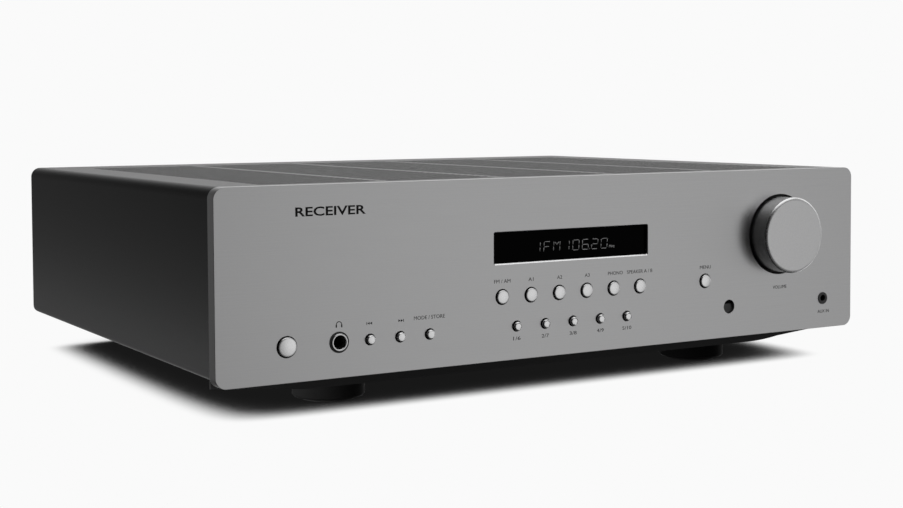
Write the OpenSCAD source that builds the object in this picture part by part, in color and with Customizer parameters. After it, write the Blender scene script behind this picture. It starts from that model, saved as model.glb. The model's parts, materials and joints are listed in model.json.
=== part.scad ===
// Stereo receiver: a low full-width audio component with an aluminium front panel,
// a vented steel cover, a pressed tray on four feet, and its electronics inside.
// Millimetres. Origin at the centre of the footprint on the ground, +Z up,
// the front panel faces -Y.

/* [Case] */
// Width of the front panel
case_w = 430; // [426:1:434]
// Height of the front panel
panel_h = 100; // [98:1:102]
// Thickness of the front panel
panel_t = 8; // [7.5:0.5:9]
// Corner radius of the front panel
panel_r = 6; // [4:0.5:8]
// Chamfer round the front panel's face
panel_c = 1; // [0.5:0.1:1.5]
// Depth of the cover behind the front panel
cover_d = 317; // [312:1:320]
// Thickness of the steel sheet
sheet_t = 1.2; // [1:0.1:1.4]
// Radius of the cover's upper bends, outside
cover_r = 6; // [5:0.5:8]
// Radius of the cover's lower bends, outside
cover_low_r = 5; // [4:0.5:6]
// How far the cover's sides stop above the panel's lower edge
cover_lift = 2.5; // [2:0.5:3]

/* [Vents] */
// Number of fields of slots across the cover
vent_fields = 5; // [5:1:5]
// Number of slots in a field
vent_rows = 38; // [34:1:38]
// Distance from one slot to the next
vent_pitch = 7.2; // [7:0.1:7.3]
// Width of a slot
vent_slot = 3.4; // [2.8:0.1:3.6]
// Width of the solid strip between fields
vent_rib = 6; // [5:0.5:8]
// Width of all the fields together
vent_w = 368; // [360:1:372]

/* [Base] */
// Height of the feet and the tray together below the front panel
ground_gap = 20; // [20:1:20]
// Height of the feet
foot_h = 12; // [12:1:12]
// Radius of a foot
foot_r = 20; // [18:1:22]
// How far the tray's front wall stands behind the front face
tray_setback = 20; // [18:1:22]
// Half width of the flat part of the tray's floor
tray_flat = 148; // [146:1:150]
// Height above the ground at which the tray's front wall ends at the sides
wall_end_z = 17.1; // [16:0.1:18]

/* [Front controls] */
// Height of the upper row of buttons above the panel's lower edge
upper_row = 35.2; // [34:0.1:36]
// Height of the lower row of buttons above the panel's lower edge
lower_row = 18.5; // [18:0.1:20]
// Spacing of the buttons under the display
button_pitch = 18.9; // [18:0.1:20]
// Radius of a source button's cap
source_r = 3.75; // [3.5:0.05:4]
// Radius of a preset button's cap
preset_r = 2.45; // [2.3:0.05:2.6]
// Radius of the power button's cap
power_r = 5; // [4.6:0.1:5.2]
// How far a button travels
button_travel = 1; // [0.6:0.1:1]
// Width of the display opening
window_w = 105.2; // [100:0.1:108]
// Height of the display opening
window_h = 17.3; // [16:0.1:18]
// Radius of the volume knob
knob_r = 23; // [22:0.5:23.5]
// How far the volume knob stands out of the panel
knob_out = 13; // [11:0.5:15]

/* [Rear controls] */
// Spacing of the binding posts of one channel
post_pitch = 19; // [19:0.05:20]
// Radius of the bore for a 4 mm plug
banana_r = 2.05; // [2.02:0.01:2.1]
// Radius of a phono socket's shell
phono_r = 4.15; // [4.1:0.01:4.2]

/* [Hidden] */
$fn = 64;
e = 0.01;

// --- planes of the case
front_y = -164;
panel_z = ground_gap;
top_z = ground_gap + panel_h;
cover_y0 = front_y + panel_t;
cover_y1 = cover_y0 + cover_d;
cover_x = case_w / 2 - 0.4;
cover_z0 = panel_z + cover_lift;
flange_z = cover_z0 + sheet_t;
shelf_z = flange_z + sheet_t;
floor_z = foot_h + sheet_t;
rear_y0 = cover_y1 - 3.2;
rear_y1 = rear_y0 + sheet_t;
tray_y0 = front_y + tray_setback;
tray_y1 = rear_y0;
lip_x = cover_x - 9.6;
shelf_x = cover_x - cover_low_r;
// Radius of the tray's curved ends, tangent to the flat floor, up to the cover's lip
tray_end_x = lip_x - 0.5;
tray_rise = flange_z - foot_h;
tray_end_r = (pow(tray_end_x - tray_flat, 2) + pow(tray_rise, 2)) / (2 * tray_rise);

// --- vents
vent_y0 = cover_y0 + 7;
field_w = (vent_w - (vent_fields - 1) * vent_rib) / vent_fields;

// --- controls on the front, [x, height above the panel's lower edge]
source_at = [for (i = [0:5]) [(i - 2.5) * button_pitch - 0.2, upper_row]];
preset_at = [for (i = [0:4]) [(i - 2) * button_pitch - 0.2, lower_row]];
power_at = [-176.4, lower_row];
skip_back_at = [-129, lower_row];
skip_forward_at = [-111.1, lower_row];
mode_at = [-93.2, lower_row];
menu_at = [95.7, upper_row];
sensor_at = [114.4, lower_row];
phones_at = [-147, lower_row];
aux_at = [190.8, lower_row];
knob_at = [154.8, 60.4];
window_z = 62.05;
small_at = concat(preset_at, [skip_back_at, skip_forward_at, mode_at]);
wide_at = concat(source_at, [menu_at]);

// --- depths behind the front face
hole_gap = 0.6;
guide_gap = 0.3;
hole_c = 0.35;
knob_gap = 1.5;
knob_recess = 4;
knob_bevel = 1;
window_set = 2;
window_t = 2.5;
window_lap = 1.7;
sub_t = 3;
sub_z = panel_t + sub_t;
stop_gap = 0.2;
stop_t = 1.5;
stem_r = 2;
stem_end = 16;
plunger_end = stem_end + button_travel + 0.05;
switch_top = 18;
board_z = 21.5;
board_t = 1.6;
sensor_r = 4.1;
phones_r = 3.2;
phones_ring_r = 5.5;
aux_r = 1.78;
aux_ring_r = 3.75;

// --- volume encoder
shaft_r = 3;
shaft_fit = 0.05;
bush_r = 4.5;
encoder_top = 14.5;
encoder_w = 14;

// --- rear
post_r = 3.5;
post_cap_r = 6.8;
post_end = 175;
cap_y0 = 163;
cap_y1 = 177;
post_columns = [-110, -110 + post_pitch, -58, -58 + post_pitch];
post_rows = [52, 84];
post_at = [for (z = post_rows) for (x = post_columns) [x, z]];
plate_y1 = rear_y1 + 2.5;
phono_x = [for (i = [0:5]) 34 + 20 * i];
phono_z = [38, 56];
phono_end = rear_y1 + 9;
ground_at = [12, 38];
ground_r = 2;
fm_at = [186, 92];
fm_r = 4.7;
am_at = [160, 90];
am_w = 22;
am_h = 20;
am_end = rear_y1 + 9;
lever_pin_r = 1;
inlet_at = [-178, 56];
inlet_w = 34;
inlet_h = 54;
iec_w = 24.6;
iec_h = 17;
iec_depth = 20;
iec_dz = -13;
rocker_w = 18;
rocker_h = 13;
rocker_dz = 14;
rocker_tilt = 10;
rocker_y = rear_y1 - 3;
rocker_pin_r = 1.5;

// --- inside
board_low = 21.2;
foot_at = [for (x = [-128, 128]) for (y = [-112, 124]) [x, y]];
toroid_at = [-95, -55];
toroid_r = 56;
toroid_h = 50;
bolt_r = 4;
bolt_head_r = 7.5;
bolt_head_h = 5;
sink_at = [-12, -100];
sink_d = 170;
sink_z0 = board_low + board_t;
standoffs = [[22, -110], [22, 138], [148, -110], [148, 138], [86, 10]];

screw_r = 1.5;
screw_head_r = 2.9;
sunk_head_r = 2.4;
cover_screws = [for (s = [-1, 1]) for (y = [-120, 0, 120]) [s * (lip_x + 4.6 - 2.4), y]];
rear_screws = [for (x = [-203, -130, -20, 64, 150, 203]) [x, 28.6]];
front_screws = [for (x = [-190, -95, 0, 95, 190]) [x, tray_y0 - 5]];

// ---------------------------------------------------------------- placing

// Places a shape on the front: local X and Y run along the face, local +Z points out of it
module on_front(at = [0, 0]) {
  translate([at[0], front_y, panel_z + at[1]]) rotate([90, 0, 0]) children();
}

// Places a shape on the rear with local +Z pointing backwards, from the plane y
module on_rear(at, y = 0) {
  translate([at[0], y, at[1]]) rotate([-90, 0, 0]) children();
}

// A disc between two heights
module disc(r, z0, z1) {
  translate([0, 0, z0]) cylinder(r = r, h = z1 - z0);
}

// A cone between two heights
module taper(r0, r1, z0, z1) {
  translate([0, 0, z0]) cylinder(r1 = r0, r2 = r1, h = z1 - z0);
}

// A block given by its two corners
module block(low, high) {
  translate(low) cube(high - low);
}

// A rectangle with round corners, centred
module round_rect(w, h, r) {
  square([w - 2 * r, h], center = true);
  square([w, h - 2 * r], center = true);
  for (sx = [-1, 1]) for (sy = [-1, 1])
    translate([sx * (w / 2 - r), sy * (h / 2 - r)]) circle(r = r);
}

// A stadium along X, centred
module stadium(w, h) {
  square([w - h, h], center = true);
  for (s = [-1, 1]) translate([s * (w - h) / 2, 0]) circle(r = h / 2);
}

// ---------------------------------------------------------------- front panel

// A plate with round corners and a chamfer round its face, which lies at height 0
module chamfered_plate(w, h, t, r, c) {
  half = [for (s = [-1, 1]) s];
  rotate([90, 0, 0]) translate([0, 0, -(h - 2 * r) / 2]) linear_extrude(h - 2 * r)
    polygon([[-w / 2, -t], [w / 2, -t], [w / 2, -c], [w / 2 - c, 0], [c - w / 2, 0], [-w / 2, -c]]);
  rotate([90, 0, 90]) translate([0, 0, -(w - 2 * r) / 2]) linear_extrude(w - 2 * r)
    polygon([[-h / 2, -t], [h / 2, -t], [h / 2, -c], [h / 2 - c, 0], [c - h / 2, 0], [-h / 2, -c]]);
  for (sx = half) for (sy = half) translate([sx * (w / 2 - r), sy * (h / 2 - r), 0]) {
    disc(r, -t, -c);
    taper(r, r - c, -c, 0);
  }
}

// A hole through the front panel with a small chamfer at its mouth
module panel_hole(r) {
  disc(r, -panel_t - 1, 1);
  taper(r, r + hole_c + e, -hole_c, e);
}

module front_panel() {
  color("silver") difference() {
    on_front([0, panel_h / 2]) chamfered_plate(case_w, panel_h, panel_t, panel_r, panel_c);
    on_front() {
      for (p = wide_at) translate(p) panel_hole(source_r + hole_gap);
      for (p = small_at) translate(p) panel_hole(preset_r + hole_gap);
      translate(power_at) panel_hole(power_r + hole_gap);
      translate(sensor_at) panel_hole(sensor_r);
      translate(phones_at) panel_hole(4.7);
      translate(aux_at) panel_hole(3);
      translate(knob_at) {
        disc(knob_r + knob_gap, -knob_recess, 1);
        taper(knob_r + knob_gap, knob_r + knob_gap + hole_c + e, -hole_c, e);
        disc(bush_r + 0.2, -panel_t - 1, 0);
      }
      translate([0, window_z, -window_set - e]) linear_extrude(window_set + 1)
        round_rect(window_w, window_h, 1);
      translate([0, window_z, -panel_t - 1]) linear_extrude(panel_t + 1 - window_set)
        square([window_w + 2 * window_lap, window_h + 2 * window_lap], center = true);
    }
  }
}

// Moulded frame behind the panel: guides the buttons and carries the front board
module front_subframe() {
  w = case_w - 16;
  h = panel_h - 14;
  color("dimgray") difference() {
    on_front() {
      difference() {
        translate([0, panel_h / 2 + 1, -sub_z]) linear_extrude(sub_t) round_rect(w, h, 4);
        translate([0, window_z, -sub_z - 1]) linear_extrude(sub_t + 2)
          square([window_w + 2 * window_lap, window_h + 2 * window_lap], center = true);
      }
      // stiffening ribs and board pillars
      for (z = [27, 78]) translate([0, z, -board_z]) linear_extrude(board_z - sub_z)
        for (s = [-1, 1]) translate([s * 135, 0]) square([90, 1.6], center = true);
      for (x = [-198, -70, 70, 198]) for (z = [27, 78]) translate([x, z, 0]) disc(3.5, -board_z, -sub_z);
      // foot that stands on the tray's front shelf
      block([-w / 2 + 4, shelf_z - panel_z, -(tray_setback - 1)],
            [w / 2 - 4, shelf_z - panel_z + 2.4, -sub_z]);
      block([-w / 2 + 4, shelf_z - panel_z, -sub_z - e], [w / 2 - 4, 9, -panel_t - 1]);
    }
    on_front() {
      for (p = wide_at) translate(p) disc(source_r + guide_gap, -sub_z - 1, 0);
      for (p = small_at) translate(p) disc(preset_r + guide_gap, -sub_z - 1, 0);
      translate(power_at) disc(power_r + guide_gap, -sub_z - 1, 0);
      translate(sensor_at) disc(sensor_r, -sub_z - 1, 0);
      translate(phones_at) disc(4.7, -sub_z - 1, 0);
      translate(aux_at) disc(3, -sub_z - 1, 0);
      translate(knob_at) disc(bush_r + 0.2, -sub_z - 1, 0);
    }
    for (p = front_screws) translate([p[0], p[1], 0]) disc(screw_r, shelf_z - 1, shelf_z + 4);
  }
}

module display_window() {
  color("black") on_front([0, window_z]) translate([0, 0, -window_set - window_t])
    linear_extrude(window_t)
      square([window_w + 2 * window_lap - 0.4, window_h + 2 * window_lap - 0.4], center = true);
}

// Vacuum fluorescent tube: a flat glass envelope on a carrier with its pins
module display_module() {
  glass_z = window_set + window_t + 0.5;
  color("darkslategray") on_front([0, window_z]) {
    translate([0, 0, -glass_z - 6]) linear_extrude(6) round_rect(window_w, window_h, 1);
    translate([0, 0, -glass_z - 8.5]) linear_extrude(2.5)
      square([window_w - 6, window_h - 3], center = true);
    for (i = [0:24]) for (s = [-1, 1]) translate([(i - 12) * 3.6, s * 6, 0])
      disc(0.4, -board_z, -glass_z - 8.5);
  }
}

// Lens over the remote control's receiver
module remote_window() {
  color("black") on_front(sensor_at) {
    disc(sensor_r, -sub_z, -0.4);
    disc(sensor_r + 1.2, -sub_z - 1.5, -sub_z);
  }
}

module front_board() {
  color("darkgreen") difference() {
    on_front() translate([0, 51, -board_z - board_t]) linear_extrude(board_t)
      round_rect(404, 74, 2);
    on_front() {
      for (x = [-198, -70, 70, 198]) for (z = [27, 78]) translate([x, z, 0])
        disc(1.5, -board_z - 3, -board_z + 1);
    }
  }
}

// One tact switch: square body and its plunger
module tact_switch() {
  translate([-3, -3, -board_z]) cube([6, 6, board_z - switch_top]);
  disc(1.75, -switch_top - e, -plunger_end);
}

module tact_switches() {
  color("gray") on_front() for (p = concat(wide_at, small_at, [power_at])) translate(p) tact_switch();
}

// ---------------------------------------------------------------- sockets on the front

module headphone_jack() {
  color("silver") on_front(phones_at) difference() {
    union() {
      disc(phones_ring_r, 0, 0.7);
      taper(phones_ring_r, phones_ring_r - 0.4, 0.7, 1.1);
      disc(4.6, -sub_z - 1, 0);
      translate([-8, -7.5, -board_z]) cube([16, 15, board_z - sub_z]);
    }
    disc(phones_r, -board_z + 1, 2);
    taper(phones_r, phones_r + 0.7, 0.5, 1.2);
  }
}

module aux_jack() {
  color("dimgray") on_front(aux_at) difference() {
    union() {
      disc(aux_ring_r, 0, 0.4);
      disc(2.9, -sub_z - 1, 0);
      translate([-4, -3.5, -board_z]) cube([8, 7, board_z - sub_z]);
    }
    disc(aux_r, -board_z + 1, 2);
  }
}

// ---------------------------------------------------------------- volume control

module volume_encoder() {
  color("gray") on_front(knob_at) difference() {
    union() {
      translate([-encoder_w / 2, -encoder_w / 2, -board_z])
        cube([encoder_w, encoder_w, board_z - encoder_top]);
      disc(bush_r, -encoder_top - e, -1.2);
      translate([0, 0, -knob_recess]) cylinder(r = 6.9, h = 2.2, $fn = 6);
    }
    disc(shaft_r + shaft_fit, -board_z + 1.2, 0);
  }
}

module volume_shaft() {
  color("lightgray") on_front(knob_at) disc(shaft_r, -board_z + 1.5, knob_out - 5);
}

// Turned aluminium knob: a bevelled cup on a boss that takes the shaft
module volume_knob() {
  back = -knob_recess + 0.7;
  face = knob_out;
  color("gainsboro") on_front(knob_at) rotate_extrude() difference() {
    polygon([
      [0, back], [knob_r - 0.4, back], [knob_r, back + 0.4], [knob_r, face - knob_bevel],
      [knob_r - knob_bevel, face], [0, face]
    ]);
    translate([7, back - e]) square([knob_r - 10, face - back - 4]);
    translate([0, back - e]) square([7 + e, 3.2]);
    translate([0, back - e]) square([shaft_r, face - 5 - back + e]);
  }
}

// ---------------------------------------------------------------- buttons

// A round push button: a low dome on the cap, a stop flange behind the frame, and a stem
module push_button(at, r, out, dome) {
  flange_r = r + 1.2;
  ball_r = (r * r + dome * dome) / (2 * dome);
  on_front(at) {
    disc(r, -sub_z - stop_gap - e, out - dome);
    intersection() {
      translate([0, 0, out - ball_r]) sphere(r = ball_r, $fn = 96);
      disc(r, out - dome - e, out + 1);
    }
    disc(flange_r, -sub_z - stop_gap - stop_t, -sub_z - stop_gap);
    disc(stem_r, -stem_end, -sub_z - stop_gap - stop_t + e);
  }
}

module source_button(i) {
  color("whitesmoke") push_button(source_at[i - 1], source_r, 1.3, 0.7);
}

module preset_button(i) {
  color("whitesmoke") push_button(preset_at[i - 1], preset_r, 2, 0.5);
}

module power_button() {
  color("whitesmoke") push_button(power_at, power_r, 1.5, 0.9);
}

module skip_back_button() {
  color("whitesmoke") push_button(skip_back_at, preset_r, 2, 0.5);
}

module skip_forward_button() {
  color("whitesmoke") push_button(skip_forward_at, preset_r, 2, 0.5);
}

module mode_button() {
  color("whitesmoke") push_button(mode_at, preset_r, 2, 0.5);
}

module menu_button() {
  color("whitesmoke") push_button(menu_at, source_r, 1.3, 0.7);
}

// ---------------------------------------------------------------- case

// Outline of the cover's section, or of the space inside it when inset is the sheet's thickness
module cover_outline(inset) {
  top_r = cover_r - inset;
  low_r = cover_low_r - inset;
  x = cover_x - inset;
  z0 = cover_z0 + inset;
  z1 = top_z - inset;
  translate([-x, z0 + low_r]) square([2 * x, z1 - z0 - low_r - top_r]);
  translate([-x + top_r, z1 - top_r]) square([2 * (x - top_r), top_r]);
  translate([-x + low_r, z0]) square([2 * (x - low_r), low_r]);
  for (s = [-1, 1]) {
    translate([s * (x - top_r), z1 - top_r]) circle(r = top_r);
    translate([s * (x - low_r), z0 + low_r]) circle(r = low_r);
  }
}

module vent_slots() {
  for (i = [0:vent_fields - 1]) for (j = [0:vent_rows - 1])
    translate([(i - (vent_fields - 1) / 2) * (field_w + vent_rib), vent_y0 + (j + 0.5) * vent_pitch])
      stadium(field_w, vent_slot);
}

module top_cover() {
  color("dimgray") difference() {
    translate([0, cover_y1, 0]) rotate([90, 0, 0]) linear_extrude(cover_d) difference() {
      cover_outline(0);
      cover_outline(sheet_t);
      translate([-lip_x, cover_z0 - 1]) square([2 * lip_x, sheet_t + 2]);
    }
    translate([0, 0, top_z - sheet_t - 1]) linear_extrude(sheet_t + 2) vent_slots();
    for (p = cover_screws) translate([p[0], p[1], 0])
      taper(sunk_head_r, screw_r, cover_z0, flange_z);
  }
}

// Section of the tray's pan: flat floor and ends that curve up
module pan_outline(inset) {
  r = tray_end_r - inset;
  z0 = foot_h + inset;
  translate([-tray_flat, z0]) square([2 * tray_flat, shelf_z - z0]);
  for (s = [0, 1]) mirror([s, 0]) intersection() {
    translate([tray_flat, foot_h + tray_end_r]) circle(r = r, $fn = 128);
    translate([tray_flat - e, z0]) square([tray_end_x - tray_flat, shelf_z - z0]);
  }
}

// Front wall of the tray, wider than its pan, with a slope at each end of its lower edge
module tray_front_wall() {
  translate([0, tray_y0 + sheet_t, 0]) rotate([90, 0, 0]) linear_extrude(sheet_t) polygon([
    [-tray_flat, foot_h], [tray_flat, foot_h], [shelf_x, wall_end_z], [shelf_x, cover_z0 - 0.3],
    [tray_end_x, cover_z0 - 0.3], [tray_end_x, shelf_z], [-tray_end_x, shelf_z],
    [-tray_end_x, cover_z0 - 0.3], [-shelf_x, cover_z0 - 0.3], [-shelf_x, wall_end_z]
  ]);
}

module chassis_tray() {
  pan_d = tray_y1 - tray_y0;
  color([0.12, 0.12, 0.13]) difference() {
    union() {
      difference() {
        union() {
          translate([0, tray_y1, 0]) rotate([90, 0, 0]) linear_extrude(pan_d) pan_outline(0);
          block([-shelf_x, cover_y0, flange_z], [shelf_x, tray_y1, shelf_z]);
          tray_front_wall();
        }
        translate([0, tray_y1 - sheet_t, 0]) rotate([90, 0, 0])
          linear_extrude(pan_d - 2 * sheet_t) pan_outline(sheet_t);
        block([-tray_end_x + 6, tray_y0 + sheet_t, flange_z - 1],
              [tray_end_x - 6, tray_y1 - sheet_t, shelf_z + 1]);
      }
      // rear upstand that the rear panel is screwed to
      block([-shelf_x, tray_y1 - sheet_t, flange_z], [shelf_x, tray_y1, shelf_z + 6]);
      // standoffs under the main board
      for (p = standoffs) translate([p[0], p[1], 0]) disc(4, floor_z - e, board_low);
    }
    for (p = foot_at) translate([p[0], p[1], 0]) disc(2.2, foot_h - 1, floor_z + 1);
    for (p = standoffs) translate([p[0], p[1], 0]) disc(screw_r, floor_z + 2, board_low + 1);
    for (p = front_screws) translate([p[0], p[1], 0]) disc(screw_r, flange_z - 1, shelf_z + 1);
    for (p = cover_screws) translate([p[0], p[1], 0]) disc(screw_r, flange_z - 1, shelf_z + 1);
    for (p = rear_screws) on_rear(p, tray_y1 - sheet_t - 1) disc(screw_r, 0, sheet_t + 2);
    translate([toroid_at[0], toroid_at[1], 0]) disc(bolt_r, foot_h - 1, floor_z + 1);
    // cooling slots in the floor under the transformer and the heatsink
    for (x = [-30, 10, 50, 90]) for (j = [0:9]) translate([x, j * 9 - 80, foot_h - 1])
      linear_extrude(sheet_t + 2) stadium(28, 3.2);
  }
}

module rear_panel() {
  w = 2 * (cover_x - sheet_t - 0.3);
  h = top_z - sheet_t - 0.2 - flange_z;
  color([0.14, 0.14, 0.15]) difference() {
    translate([0, rear_y1, flange_z + h / 2]) rotate([90, 0, 0]) linear_extrude(sheet_t)
      round_rect(w, h, 4);
    for (p = rear_screws) on_rear(p, rear_y0 - 1) disc(screw_r, 0, 4);
    for (p = post_at) on_rear(p, rear_y0 - 1) disc(post_r + 0.8, 0, 4);
    for (x = phono_x) for (z = phono_z) on_rear([x, z], rear_y0 - 1) disc(phono_r + 0.4, 0, 4);
    on_rear(ground_at, rear_y0 - 1) disc(ground_r, 0, 4);
    on_rear(fm_at, rear_y0 - 1) disc(fm_r + 0.3, 0, 4);
    block([am_at[0] - am_w / 2 + 1, rear_y0 - 1, am_at[1] - am_h / 2 + 1],
          [am_at[0] + am_w / 2 - 1, rear_y1 + 1, am_at[1] + am_h / 2 - 1]);
    block([inlet_at[0] - inlet_w / 2 + 2, rear_y0 - 1, inlet_at[1] - inlet_h / 2 + 2],
          [inlet_at[0] + inlet_w / 2 - 2, rear_y1 + 1, inlet_at[1] + inlet_h / 2 - 2]);
    // row of cooling slots along the top
    for (i = [0:9]) translate([(i - 4.5) * 15 + 60, rear_y1 + 1, 106]) rotate([90, 0, 0])
      linear_extrude(4) rotate(90) stadium(12, 3.2);
  }
}

// Moulded ring foot with a pocket for its pad and a counterbore for its screw
module feet() {
  color([0.1, 0.1, 0.1]) for (p = foot_at) translate([p[0], p[1], 0]) difference() {
    union() {
      disc(foot_r, 2.5, foot_h);
      taper(foot_r - 1, foot_r, 1.5, 2.5);
    }
    disc(foot_r - 5, 0, 4);
    disc(4, 3, 7);
    disc(2.2, 6, foot_h + 1);
  }
}

module foot_pads() {
  color([0.2, 0.2, 0.2]) for (p = foot_at) translate([p[0], p[1], 0]) disc(foot_r - 5, 0, 4);
}

// Pan head screw: head from 0 up to its height, shank below, with a cross recess
module pan_screw(r, head_r, head_h, len) {
  difference() {
    union() {
      disc(head_r, 0, head_h * 0.6);
      taper(head_r, head_r - 0.7, head_h * 0.6, head_h);
      disc(r, -len, e);
    }
    for (a = [0, 90]) rotate(a) translate([0, 0, head_h]) cube([head_r * 1.1, 0.7, 1.4], center = true);
  }
}

// Countersunk screw pointing up, its head flush at height 0
module sunk_screw(r, head_r, head_h, len) {
  difference() {
    union() {
      taper(head_r, r, 0, head_h);
      disc(r, head_h - e, len);
    }
    for (a = [0, 90]) rotate(a) cube([head_r * 1.1, 0.7, 1.4], center = true);
  }
}

module case_screws() {
  color("gray") {
    for (p = cover_screws) translate([p[0], p[1], cover_z0])
      sunk_screw(screw_r, sunk_head_r, sheet_t, 5);
    for (p = rear_screws) on_rear(p, rear_y1) pan_screw(screw_r, screw_head_r, 1.8, 5);
    for (p = front_screws) translate([p[0], p[1], flange_z]) rotate([180, 0, 0])
      pan_screw(screw_r, screw_head_r, 1.8, 4.5);
    for (p = standoffs) translate([p[0], p[1], board_low + board_t])
      pan_screw(screw_r, screw_head_r, 1.8, 5);
    for (p = foot_at) translate([p[0], p[1], 7]) rotate([180, 0, 0])
      pan_screw(2.2, 3.8, 2.6, 8);
  }
}

// ---------------------------------------------------------------- electronics

module main_board() {
  z1 = board_low + board_t;
  color("darkgreen") {
    difference() {
      block([-28, -118, board_low], [192, 145, z1]);
      for (p = standoffs) translate([p[0], p[1], 0]) disc(screw_r, board_low - 1, z1 + 1);
    }
    // regulators and small electrolytics soldered to the board
    for (i = [0:5]) translate([60 + 17 * i, -70, 0]) disc(5, z1, z1 + 16);
    for (i = [0:3]) block([70 + 20 * i, -30, z1], [84 + 20 * i, -16, z1 + 3]);
    block([120, 30, z1], [150, 60, z1 + 3]);
    // header for the ribbon cable
    block([70, -108, z1], [110, -100, z1 + 8]);
  }
}

// Extruded aluminium heatsink: a vertical web with fins to both sides
module heatsink() {
  web_h = 76;
  color("darkgray") translate([sink_at[0], sink_at[1] + sink_d, sink_z0])
    rotate([90, 0, 0]) linear_extrude(sink_d) {
      translate([-3, 0]) square([6, web_h]);
      translate([-16, 0]) square([32, 4]);
      for (i = [0:8]) translate([3 - e, 10 + 8 * i]) square([18, 2]);
      for (i = [0:3]) translate([-14, 44 + 10 * i]) square([11 + e, 2]);
    }
}

module output_transistors() {
  color([0.1, 0.1, 0.1]) for (i = [0:3])
    translate([sink_at[0] - 3, sink_at[1] + 22 + 36 * i, sink_z0 + 12]) {
      block([-5, 0, 0], [0, 20, 25]);
      for (j = [0:2]) block([-3, 4 + 5.4 * j, -8], [-2, 5.6 + 5.4 * j, 0]);
    }
}

module filter_capacitors() {
  color([0.1, 0.12, 0.2]) for (i = [0:1]) translate([44, 20 + 42 * i, board_low + board_t]) {
    disc(17.5, 0, 49);
    taper(17.5, 16.5, 49, 50);
  }
}

module speaker_relays() {
  color([0.85, 0.85, 0.8]) for (i = [0:3])
    block([72 + 24 * (i % 2), 84 + 24 * floor(i / 2), board_low + board_t],
          [90 + 24 * (i % 2), 102 + 24 * floor(i / 2), board_low + board_t + 22]);
}

// Toroidal mains transformer on an insulating pad
module power_transformer() {
  z0 = floor_z + 2;
  color([0.75, 0.6, 0.2]) translate([toroid_at[0], toroid_at[1], 0]) {
    rotate_extrude($fn = 96) translate([(toroid_r + 16) / 2, z0 + toroid_h / 2])
      round_rect(toroid_r - 16, toroid_h, 10);
    difference() {
      disc(toroid_r - 2, floor_z, z0);
      disc(5, floor_z - 1, z0 + 1);
    }
  }
}

// Bolt up through the tray, with the dished washer and the nut that hold the transformer down
module transformer_clamp() {
  z1 = floor_z + 2 + toroid_h;
  color("silver") translate([toroid_at[0], toroid_at[1], 0]) {
    translate([0, 0, foot_h - bolt_head_h]) cylinder(r = bolt_head_r, h = bolt_head_h, $fn = 6);
    disc(bolt_r, foot_h - e, z1 + 12);
    disc(36, z1, z1 + 2);
    translate([0, 0, z1 + 2 - e]) cylinder(r = bolt_head_r, h = 6, $fn = 6);
  }
}

// Screened tuner can beside the aerial terminals
module tuner_module() {
  color("lightgray") difference() {
    block([150, 60, board_low + board_t + 36], [200, 140, board_low + board_t + 54]);
    for (i = [0:3]) translate([162 + 9 * i, 74, 0]) disc(2, board_low + board_t + 50, 90);
  }
  color("darkgreen") block([150, 60, board_low + board_t + 34], [200, 140, board_low + board_t + 36]);
  color("lightgray") for (x = [154, 188]) for (y = [66, 130])
    translate([x, y, 0]) disc(2, board_low + board_t, board_low + board_t + 34);
}

// Flat cable from the front board down to the main board
module ribbon_cable() {
  y0 = front_y + board_z + board_t;
  y1 = -104;
  z1 = board_low + board_t + 8;
  color("lightgray") translate([75, 0, 0]) rotate([90, 0, 90]) linear_extrude(30) polygon([
    [y0, 62], [y0 + 8, 62], [y1 + 1, 50], [y1 + 1, z1], [y1, z1], [y1, 49.2], [y0 + 8, 61], [y0, 61]
  ]);
}

// ---------------------------------------------------------------- rear sockets

// Pairs of phono sockets, and the stud of the earth terminal beside them
module phono_sockets() {
  color("silver") on_rear(ground_at, 0) {
    disc(ground_r, rear_y0 - 6, rear_y1 + 12);
    translate([0, 0, rear_y0 - 2.5]) cylinder(r = 4, h = 2.5, $fn = 6);
  }
  color([0.9, 0.9, 0.85]) for (x = phono_x) {
    z0 = board_low + board_t;
    block([x - 7, rear_y0 - 14, z0], [x + 7, rear_y0 - sheet_t, phono_z[1] + 7]);
    for (z = phono_z) on_rear([x, z], 0) difference() {
      union() {
        disc(phono_r, rear_y0 - sheet_t - e, phono_end);
        disc(phono_r + 1.4, rear_y1, rear_y1 + 1);
      }
      disc(1.65, rear_y0 + 1, phono_end + 1);
    }
  }
}

module aerial_terminals() {
  color("dimgray") {
    difference() {
      block([am_at[0] - am_w / 2, rear_y1, am_at[1] - am_h / 2],
            [am_at[0] + am_w / 2, am_end, am_at[1] + am_h / 2]);
      // slots for the two levers, with the bores that their pivots turn in
      for (s = [-1, 1]) block([am_at[0] + s * 5.5 - 3.5, rear_y1 + 3, am_at[1] - 4],
                              [am_at[0] + s * 5.5 + 3.5, am_end + 1, am_at[1] + am_h / 2 + 1]);
      translate([0, am_end - 3, am_at[1] - 1.5]) rotate([0, 90, 0])
        disc(lever_pin_r + shaft_fit, am_at[0] - am_w / 2 + 1, am_at[0] + am_w / 2 - 1);
      // wire holes
      for (s = [-1, 1]) on_rear([am_at[0] + s * 5.5, am_at[1] - 7], am_end - 6) disc(1.25, 0, 8);
    }
    block([am_at[0] - am_w / 2 + 1.2, rear_y0 - 10, am_at[1] - am_h / 2 + 1.2],
          [am_at[0] + am_w / 2 - 1.2, rear_y1, am_at[1] + am_h / 2 - 1.2]);
    on_rear(fm_at, 0) difference() {
      union() {
        disc(fm_r, rear_y0 - 12, rear_y1 + 11);
        translate([0, 0, rear_y1]) cylinder(r = 7, h = 2, $fn = 6);
        disc(7, rear_y0 - 12, rear_y0);
      }
      disc(0.8, rear_y0, rear_y1 + 12);
    }
  }
}

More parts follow.
